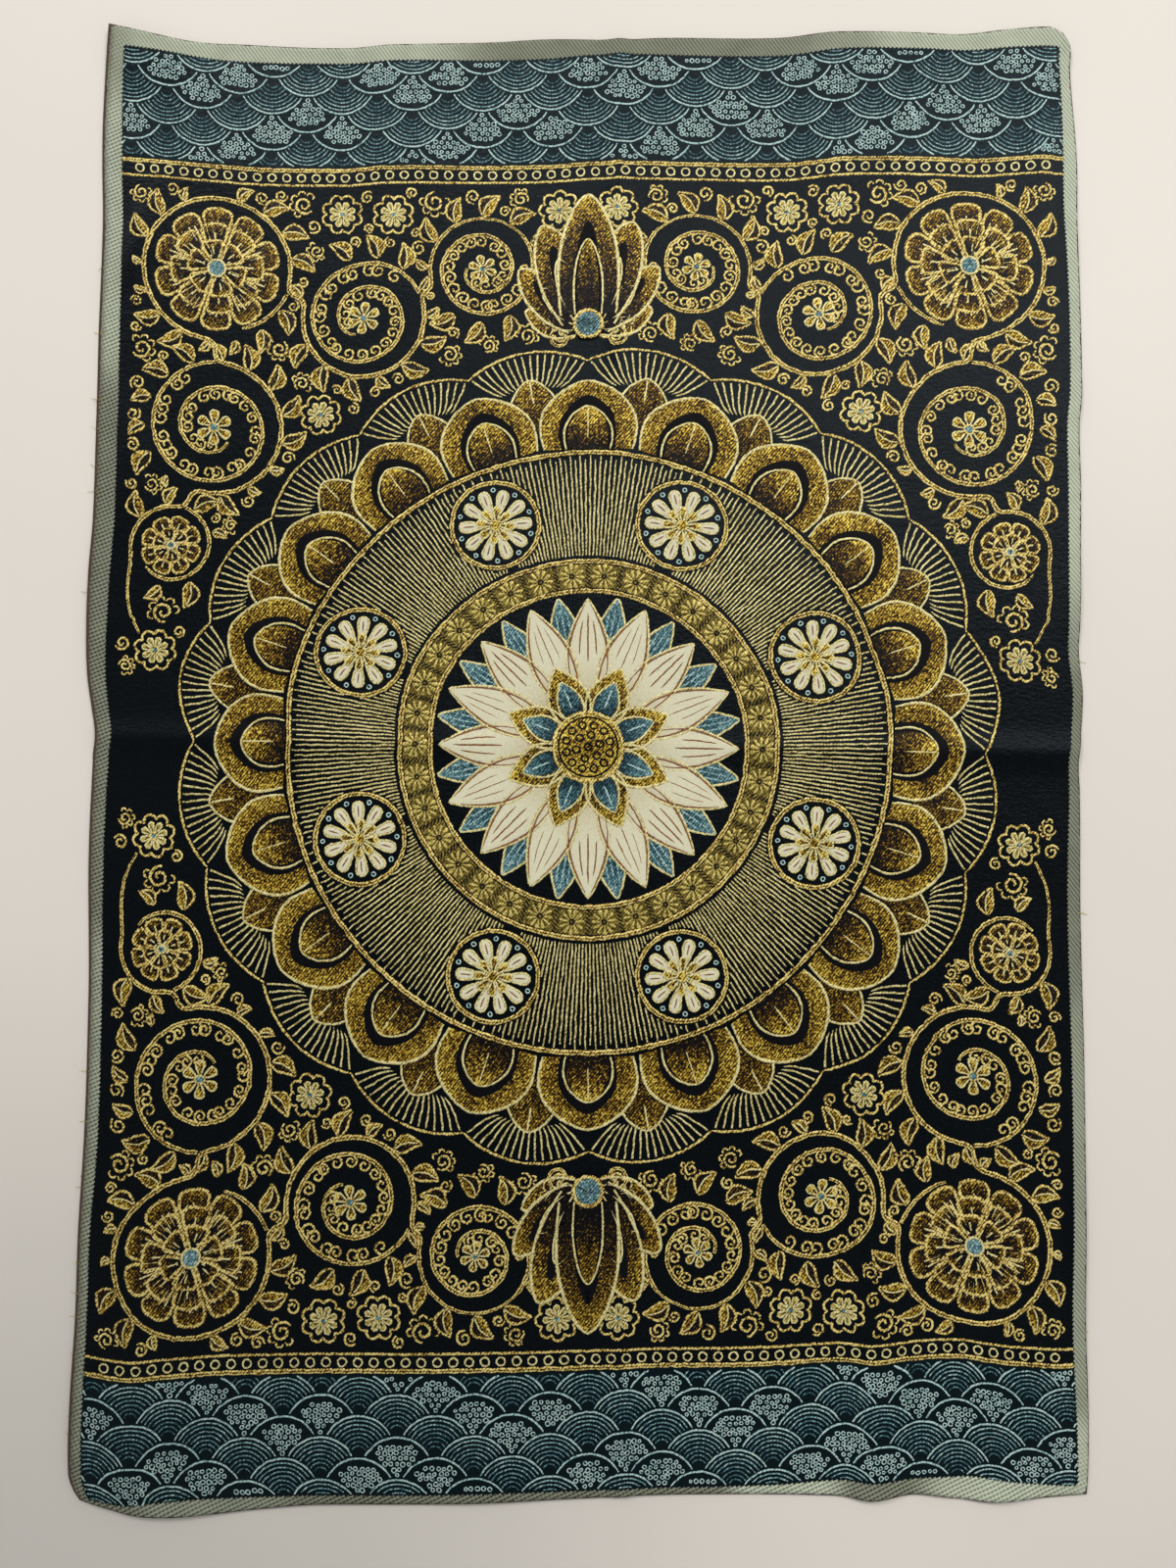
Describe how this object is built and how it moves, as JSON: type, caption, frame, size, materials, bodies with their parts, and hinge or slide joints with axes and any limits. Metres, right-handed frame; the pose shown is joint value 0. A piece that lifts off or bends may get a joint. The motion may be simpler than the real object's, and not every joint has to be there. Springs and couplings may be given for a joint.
{
  "type": "woven brocade wall hanging panel",
  "caption": "Rectangular brocade cloth panel lying flat, with a woven-in pale margin, wavering hot-cut sides, a crosswise and a faint lengthwise fold crease.",
  "frame": {"origin": "middle of the cloth's outline, at the surface it lies on", "axes": "+X to the right along the short side, +Y towards the top edge, +Z out of the cloth's face"},
  "size_m": [0.6122, 0.907, 0.0047],
  "materials": {
    "satin_ground": "near-black satin weave with a dull sheen, and a sage-green twill margin woven in it",
    "gilt_weft": "flat gilt yarn in floats, with a broken metallic glint",
    "ivory_weft": "matt ivory yarn in fine close floats",
    "blue_weft": "soft blue yarn in floats over a dark teal ground"
  },
  "bodies": {
    "root": {"brocade_panel": "satin_ground"}
  },
  "joints": []
}
